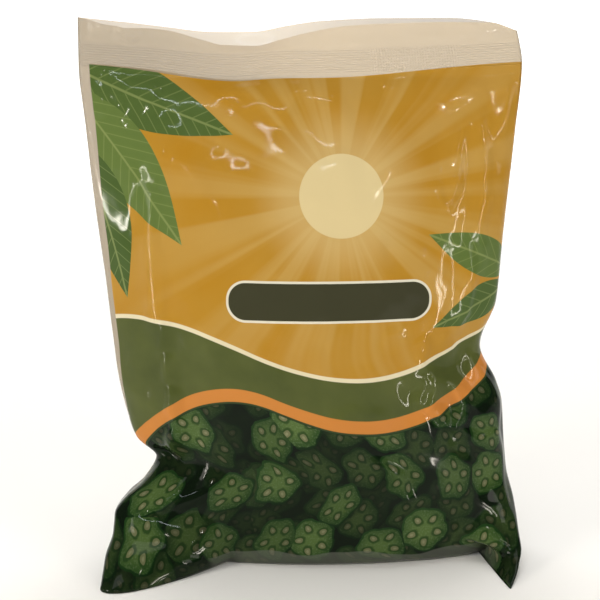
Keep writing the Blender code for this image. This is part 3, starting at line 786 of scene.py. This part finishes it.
def draw_wave(n, across, up, field, slices, given):
    """A cream line, an olive band and an orange ribbon over the dark ground, which okra slices fill."""
    over = n.minus(up, n.times_plus(n.sin(n.times_plus(across, 0.030, 0.9)), 13.0, 116.0))
    field = n.mix(n.step(over, 27.6, 27.2), field, (0.80, 0.72, 0.50))
    olive = n.mix(n.noise(n.combine(across, up), 0.05, 3.0), (0.055, 0.072, 0.02), (0.125, 0.145, 0.04))
    field = n.mix(n.step(over, 25.6, 25.2), field, olive)
    # The ribbon swings on its own, and dips at the left.
    swing = n.times_plus(n.sin(n.times_plus(across, 0.021, 2.2)), 5.0, 6.0)
    swing = n.times_plus(n.step(across, 84.0, -14.0), -52.0, swing)
    ribbon = n.minus(over, swing)
    field = n.mix(n.step(ribbon, 6.4, 6.0), field, given["Orange"])
    field = n.mix(n.step(ribbon, 0.2, -0.2), field, (0.035, 0.06, 0.022))
    ground = n.mix(n.noise(n.combine(across, up), 0.06, 4.0), given["Dark green"], (0.003, 0.006, 0.003))
    field = n.mix(n.step(ribbon, -0.8, -1.2), field, ground)
    inside = n.step(ribbon, -1.0, -1.4)
    for pitch, shift, size, dim in SLICES:
        cut = n.group(slices, {"Across": across, "Up": up, "Pitch": pitch, "Shift": shift, "Size": size})
        shade = n.times(n.times(cut.outputs["Shade"], inside), 0.6)
        field = n.mix(shade, field, (0.004, 0.008, 0.004))
        piece = n.mix(dim, cut.outputs["Colour"], (0.004, 0.010, 0.004))
        field = n.mix(n.times(cut.outputs["Mask"], inside), field, piece)
    return field


def draw_labels(n, across, up, behind, field):
    """A bare rounded label on each side, with a pale rim."""
    corner = 8.0
    for x, y, wide, high, on_back, tint in LABELS:
        past = [n.math("MAXIMUM", n.minus(n.size(n.minus(at, middle)), half - corner), 0.0)
                for at, middle, half in ((across, x, wide), (up, y, high))]
        off = n.long(*past)
        here = behind if on_back else n.minus(1.0, behind)
        field = n.mix(n.times(n.step(off, corner + 1.3, corner + 1.0), here), field, (0.80, 0.76, 0.62))
        field = n.mix(n.times(n.step(off, corner + 0.2, corner - 0.1), here), field, tint)
    return field


def draw_painted_roll_reflection(n, across, up, behind, field):
    """A painted reflection: the pale strip where the film rolls under the front."""
    edge = n.times_plus(n.noise(n.combine(across, 3.0), 0.045, 0.0), 9.0, 40.0)
    between = n.times(n.step(across, 50.0, 54.0), n.step(across, 186.0, 176.0))
    # roll marks where the painted reflection lies; it is mixed in at half strength.
    roll = n.times(n.times(n.step(n.minus(up, edge), 0.3, -0.3), between), n.minus(1.0, behind))
    return n.mix(n.times(roll, 0.5), field, (0.13, 0.14, 0.115))


def bare_film(n, across, up, round_it):
    """Where the print stops: short of the weld, and of the left fold."""
    edge = n.times_plus(n.noise(n.combine(across, up), 0.02, 0.0), 1.2, 4.4)
    edge = n.times(edge, n.step(up, 58.0, 130.0))
    from_fold = n.math("PINGPONG", n.minus(round_it, LEFT_FOLD_S), SIDE)
    margin = n.step(n.minus(from_fold, edge), 0.12, -0.12)
    higher = n.plus(n.times(n.step(across, 72.0, 0.0), 3.1), n.times(n.step(across, 105.0, 200.0), 3.4))
    top = n.step(n.minus(up, higher), WELD_V - 2.3, WELD_V - 2.0)
    return n.math("MAXIMUM", margin, top)


def print_group(place, leaf, slices):
    """The printed design: a golden field with a sun, leaves, a wave, a bare label and okra slices."""
    tree, n, given, out = new_group(
        "film_print",
        {"Gold": GOLD, "Pale gold": (0.52, 0.32, 0.065), "Leaf green": LEAF_GREEN,
         "Dark green": (0.006, 0.014, 0.005), "Orange": RIBBON_ORANGE},
        {"Colour": COLOUR, "Clear": VALUE})
    at = n.group(place)
    across, up, behind = at.outputs["Across"], at.outputs["Up"], at.outputs["Back"]
    field = draw_sun(n, across, up, given)
    field = draw_leaves(n, across, up, field, leaf, given["Leaf green"])
    field = draw_wave(n, across, up, field, slices, given)
    field = draw_labels(n, across, up, behind, field)
    # A pale painted reflection where the film rolls under the front.
    field = draw_painted_roll_reflection(n, across, up, behind, field)
    # The whole print comes out a quarter darker than its parts are drawn.
    n.put(out["Colour"], n.mix(0.26, field, (0, 0, 0)))
    n.put(out["Clear"], bare_film(n, across, up, at.outputs["Round"]))
    return tree


def weld_group(place):
    """The relief of the welded top: fine ribs across the bag, and a knurled patch at the right."""
    tree, n, _given, out = new_group("weld_relief", {}, {"Height": VALUE})
    at = n.group(place)
    across, up = at.outputs["Across"], at.outputs["Up"]
    band = n.times(n.step(up, WELD_V - 0.4, WELD_V), n.step(up, FLAP_V + 0.2, FLAP_V - 0.2))
    pitch = 1.05
    ribs = n.sin(n.times(up, 2 * math.pi / pitch))
    diagonals = n.plus(across, up), n.minus(across, up)
    dots = n.times(*(n.sin(n.times(diagonal, 2.6)) for diagonal in diagonals))
    patch = n.times(n.step(across, 131.0, 133.0), n.step(across, 172.0, 170.0))
    relief = n.plus(n.times(ribs, n.minus(1.0, patch)), n.times(n.times(dots, 1.7), patch))
    n.put(out["Height"], n.times(relief, band))
    return tree


def shine_group():
    """How the film shines: where it is rubbed dull, and its fine crinkles."""
    tree, n, given, out = new_group("film_shine", {"Smooth": 0.07, "Rubbed": 0.16},
                                    {"Roughness": VALUE, "Crinkle": VALUE})
    coords = n.add("ShaderNodeTexCoord").outputs["Object"]
    rub = n.step(n.noise(coords, 24.0, 5.0, 0.62), 0.52, 0.75)
    n.put(out["Roughness"], n.times_plus(rub, given["Rubbed"], given["Smooth"]))
    sharp = n.add("ShaderNodeTexVoronoi", {"Vector": coords, "Scale": 95.0}, feature="DISTANCE_TO_EDGE")
    here = n.step(n.noise(coords, 22.0, 2.0), 0.56, 0.70)
    line = n.times(n.step(sharp.outputs["Distance"], 0.10, 0.0), here)
    soft = n.times(n.noise(coords, 110.0, 1.0, 0.5), 0.025)
    n.put(out["Crinkle"], n.times_plus(line, 0.04, soft))
    return tree


def film_material(settings):
    """Glossy film, printed on its inside and clear at the weld and down the left fold."""
    material, n, shader = new_material("golden_print_film")
    place = film_place_group()
    art = n.group(print_group(place, leaf_group(), slice_group()))
    n.fill(art, {"Gold": (*settings.gold, 1), "Leaf green": (*settings.green, 1),
                 "Orange": (*settings.orange, 1)})
    relief = n.group(weld_group(place))
    shine = n.group(kept_group("film_shine", shine_group))
    clear = art.outputs["Clear"]
    at = n.group(place)
    # The unprinted film is in shade at the left.
    shaded = [0.62 * part for part in settings.clear]
    tint = n.mix(n.step(at.outputs["Across"], 20.0, 120.0), shaded, settings.clear)
    height = n.times_plus(relief.outputs["Height"], RIB_SHARE, shine.outputs["Crinkle"])
    n.fill(shader, {"Base Color": n.mix(clear, art.outputs["Colour"], tint),
                    "Alpha": n.times_plus(clear, settings.clearness - 1.0, 1.0),
                    "Roughness": shine.outputs["Roughness"], "IOR": FILM_IOR, "Specular IOR Level": 0.105,
                    "Normal": n.bump(height, 0.6, 0.0005)})
    return material


def strip_material(settings):
    """Clear film welded to itself, with fine ribs across the strip's width."""
    material, n, shader = new_material("clear_weld_film")
    place = n.split(n.add("ShaderNodeUVMap", uv_map="film").outputs[0])
    rib_count = 9.5
    ribs = n.sin(n.times(place[0], 2 * math.pi * rib_count))
    shine = n.group(kept_group("film_shine", shine_group))
    tint = n.noise(n.combine(n.times(place[1], 12.0), place[0]), 2.0, 2.0)
    height = n.times_plus(ribs, RIB_SHARE, shine.outputs["Crinkle"])
    n.fill(shader, {"Base Color": n.mix(n.times(tint, 0.5), settings.clear, (0.50, 0.40, 0.22)),
                    "Alpha": min(settings.clearness + 0.25, 1.0), "Roughness": shine.outputs["Roughness"],
                    "IOR": FILM_IOR, "Normal": n.bump(height, 0.7, 0.0004)})
    return material


def okra_material(settings):
    """Green pod skin in two tones, with frost on it."""
    material, n, shader = new_material("frosted_okra")
    coords = n.add("ShaderNodeTexCoord").outputs["Object"]
    tone = n.noise(coords, 38.0, 2.0)
    skin = n.mix(n.step(tone, 0.35, 0.65), settings.okra, (0.20, 0.34, 0.10))
    frost = n.step(n.plus(n.noise(coords, 420.0, 4.0, 0.7), n.times(tone, 0.25)), 0.62, 0.78)
    n.fill(shader, {"Base Color": n.mix(n.times(frost, 0.65), skin, (0.82, 0.88, 0.86)),
                    "Roughness": n.times_plus(frost, 0.3, 0.45),
                    "Normal": n.bump(n.noise(coords, 900.0, 3.0), 0.6, 0.0004)})
    return material


def glowing_paper_material():
    """White studio paper that glows with painted light, more the further it lies from the bag, so it keeps
    its brightness away from the lamps over the bag.
    """
    material, n, shader = new_material("glowing_studio_paper")
    coords = n.add("ShaderNodeTexCoord").outputs["Object"]
    far = n.add("ShaderNodeVectorMath", (coords,), operation="LENGTH").outputs["Value"]
    n.fill(shader, {"Base Color": (0.86, 0.85, 0.83, 1), "Roughness": 0.9, "Emission Strength": 0.60,
                    "Emission Color": n.mix(n.step(far, 0.45, 1.7), (0, 0, 0), WHITE)})
    return material


# The pieces of the welds

def strip(name, root, edge, material):
    """A welded strip of film between two lines of points, laid out from a grid."""
    rows = len(root)
    bm = bmesh.new()
    bmesh.ops.create_grid(bm, x_segments=5, y_segments=rows - 1, size=0.5)
    uv = bm.loops.layers.uv.new("film")
    for face in bm.faces:
        for loop in face.loops:
            loop[uv].uv = (loop.vert.co.x + 0.5, loop.vert.co.y + 0.5)
    for vert in bm.verts:
        share, row = vert.co.x + 0.5, round((vert.co.y + 0.5) * (rows - 1))
        vert.co = (Vector(root[row]).lerp(Vector(edge[row]), share) + OFFSET) * MM
    return new_piece(name, bm, material)


def back_fin(lines, vs, material):
    """The fin on the back: the film's two long edges, welded together and laid flat against the back."""
    quarter = (lines.shape[1] - 1) // 4
    first, last = np.searchsorted(vs, [FRONT_V + 1.5, WELD_V - 3.0])
    root, edge = [], []
    for row in range(first, last):
        back = np.concatenate([lines[row, 3 * quarter:], lines[row, 1:quarter + 1]])[::-1]
        x = 1.5 + 0.6 * math.sin(vs[row] / 37.0)
        ripple = 0.25 * math.sin(vs[row] / 11.0) + 0.15 * math.sin(vs[row] / 4.3)
        for line, at, out in ((root, x + 5, 0.25), (edge, x - 5, 0.85 + ripple)):
            y, z = (np.interp(at, back[:, 0], back[:, axis]) for axis in (1, 2))
            line.append((at, y + out, z))
    return strip("back_fin_weld", root, edge, material)


def foot_weld(lines, material):
    """The bottom weld, folded flat under the bag from ear to ear."""
    foot = lines[0, front_columns(lines)]
    under = np.array([[x, y, 0.30] for x, y, _z in foot])
    return strip("bottom_weld", under, under + np.array([0, 9.0, -0.18]), material)


# Settings, operators and panel

def colour_setting(name, description, default):
    return bpy.props.FloatVectorProperty(name=name, description=description, default=default, size=3,
                                         subtype="COLOR")


def number_setting(name, description, default, **limits):
    return bpy.props.FloatProperty(name=name, description=description, default=default, **limits)


class OkraBagSettings(bpy.types.PropertyGroup):
    crease: number_setting("Crease", "How strongly the film is creased", 1.0, min=0.0, max=2.0)
    clearness: number_setting("Clear film", "Opacity of the unprinted film", 0.68, min=0.05, max=1.0,
                              subtype="FACTOR")
    clear: colour_setting("Clear film colour", "Tint of the unprinted film", (0.55, 0.45, 0.31))
    gold: colour_setting("Gold", "Colour of the printed field", GOLD)
    green: colour_setting("Green", "Colour of the printed leaves", LEAF_GREEN)
    orange: colour_setting("Orange", "Colour of the printed ribbon", RIBBON_ORANGE)
    okra: colour_setting("Okra", "Skin colour of the pods", (0.06, 0.16, 0.04))


class OkraStageSettings(bpy.types.PropertyGroup):
    key_power: number_setting("Key light", "Power of the key light", 5.2, min=0.0, unit="POWER")
    air: number_setting("Room light", "Brightness of the light all round", 0.10, min=0.0)
    distance: number_setting("Distance", "From the camera to the bag", 0.6, min=0.1, unit="LENGTH")
    elevation: number_setting("Elevation", "Of the camera above level", math.radians(12), subtype="ANGLE")
    lens: number_setting("Lens", "Focal length in millimetres", 76.5, min=10.0)


class OKRABAG_OT_film(bpy.types.Operator):
    """Build the crumpled, printed film from its flat sheet"""

    bl_idname = "okrabag.film"
    bl_label = "Film"

    def execute(self, context):
        settings = context.scene.okra_bag
        lines, vs = film_lines(*FINE)
        fine = crumple(lines, vs, settings.crease)
        coarse, coarse_vs = film_lines(*COARSE)
        settled = relax(crumple(coarse, coarse_vs, FIRST_CREASE * settings.crease), coarse_vs)
        fine = fine + refine(settled, np.linspace(0, ROUND, coarse.shape[1]), coarse_vs,
                             np.linspace(0, ROUND, lines.shape[1]), vs)
        fine[:, :, 2] = np.maximum(fine[:, :, 2], FLOOR_GAP)
        material = kept("golden_print_film", lambda: film_material(settings))
        film = new_piece("printed_film_bag", film_bmesh(fine, vs), material)
        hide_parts("film_bag")
        strips = kept("clear_weld_film", lambda: strip_material(settings))
        for piece in (back_fin(fine, vs, strips), foot_weld(fine, strips)):
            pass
        return {"FINISHED"}


class OKRABAG_OT_pods(bpy.types.Operator):
    """Round off each clump of frozen pods"""

    bl_idname = "okrabag.pods"
    bl_label = "Pods"

    def execute(self, context):
        material = kept("frosted_okra", lambda: okra_material(context.scene.okra_bag))
        for name, node in sorted(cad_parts.items()):
            if not name.startswith("okra_pods_"):
                continue
            bm = bmesh.new()
            bm.from_mesh(node.data)
            bmesh.ops.remove_doubles(bm, verts=bm.verts, dist=1e-6)
            bmesh.ops.dissolve_limit(bm, angle_limit=math.radians(1), verts=bm.verts, edges=bm.edges)
            piece = new_piece("frozen_pods_" + name[-2:], bm, material)
            rounding = piece.modifiers.new("rounding", "SUBSURF")
            rounding.levels = rounding.render_levels = 2
            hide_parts(name)
        return {"FINISHED"}


def add_sweep():
    """A paper sweep: flat under the bag, then bent up behind it."""
    bm = bmesh.new()
    bmesh.ops.create_grid(bm, x_segments=1, y_segments=40, size=1.0)
    for vert in bm.verts:
        along = (vert.co.y + 1) / 2 * SWEEP_LONG + SWEEP_START
        bend = max(along - SWEEP_BEND, 0.0)
        turn = min(bend / SWEEP_RADIUS, math.pi / 2)
        y = min(along, SWEEP_BEND) + SWEEP_RADIUS * math.sin(turn)
        z = SWEEP_RADIUS * (1 - math.cos(turn)) + max(bend - SWEEP_RADIUS * math.pi / 2, 0.0)
        vert.co = Vector((vert.co.x * SWEEP_HALF, y, z))
    # The paper glows with painted light away from the bag.
    mesh_object("studio_sweep", bm, kept("glowing_studio_paper", glowing_paper_material))


def add_lamp(scene, name, place, aim, size, power, colour):
    light = bpy.data.lights.new(name, "AREA")
    light.shape = "RECTANGLE"
    light.size, light.size_y = size
    light.energy = power
    light.color = colour
    lamp = bpy.data.objects.new(name, light)
    lamp.location = place
    lamp.rotation_euler = (Vector(aim) - Vector(place)).to_track_quat("-Z", "Y").to_euler()
    lamp.visible_camera = False
    scene.collection.objects.link(lamp)


def add_world(scene, brightness):
    """Faint light all round, in a room that looks as pale as the paper to the camera."""
    world = bpy.data.worlds.new("studio_air")
    world.use_nodes = True
    air = world.node_tree.nodes["Background"]
    n = Nodes(world.node_tree)
    seen = n.add("ShaderNodeLightPath").outputs["Is Camera Ray"]
    n.fill(air, ((*WHITE, 1), n.times_plus(seen, ROOM_SEEN - brightness, brightness)))
    scene.world = world


def add_camera(scene, settings):
    """The photograph's view of the front."""
    camera = bpy.data.objects.new("camera", bpy.data.cameras.new("camera"))
    scene.collection.objects.link(camera)
    target = (Vector((0, 0, LOOK_AT)) + OFFSET) * MM
    turn = settings.elevation
    camera.location = target + settings.distance * Vector((0, -math.cos(turn), math.sin(turn)))
    camera.rotation_euler = (math.pi / 2 - turn, 0, 0)
    camera.data.lens = settings.lens
    camera.data.sensor_width = 36
    camera.data.shift_y = -0.015
    scene.camera = camera


class OKRABAG_OT_stage(bpy.types.Operator):
    """Set up the floor, the lights and the camera"""

    bl_idname = "okrabag.stage"
    bl_label = "Stage"

    def execute(self, context):
        scene, settings = context.scene, context.scene.okra_stage
        add_sweep()
        for name, place, aim, size, share, colour in LAMPS:
            add_lamp(scene, name, place, aim, size, settings.key_power * share, colour)
        add_world(scene, settings.air)
        scene.view_settings.view_transform = "Standard"
        add_camera(scene, settings)
        return {"FINISHED"}


class OKRABAG_PT_panel(bpy.types.Panel):
    """Lists the bag's settings and the steps that build it"""

    bl_label = "Okra bag"
    bl_idname = "OKRABAG_PT_panel"
    bl_space_type = "VIEW_3D"
    bl_region_type = "UI"
    bl_category = "Okra bag"

    def draw(self, context):
        for group in (context.scene.okra_bag, context.scene.okra_stage):
            column = self.layout.column(align=True)
            for key in group.bl_rna.properties.keys():
                if key not in ("rna_type", "name"):
                    column.prop(group, key)
        for operator in OPERATORS:
            self.layout.operator(operator.bl_idname)


OPERATORS = (OKRABAG_OT_film, OKRABAG_OT_pods, OKRABAG_OT_stage)
CLASSES = (OkraBagSettings, OkraStageSettings, *OPERATORS, OKRABAG_PT_panel)


def register():
    for item in CLASSES:
        bpy.utils.register_class(item)
    bpy.types.Scene.okra_bag = bpy.props.PointerProperty(type=OkraBagSettings)
    bpy.types.Scene.okra_stage = bpy.props.PointerProperty(type=OkraStageSettings)


def unregister():
    del bpy.types.Scene.okra_stage
    del bpy.types.Scene.okra_bag
    for item in reversed(CLASSES):
        bpy.utils.unregister_class(item)


def main():
    register()
    bpy.ops.okrabag.film()
    bpy.ops.okrabag.pods()
    bpy.ops.okrabag.stage()


if __name__ == "__main__":
    main()
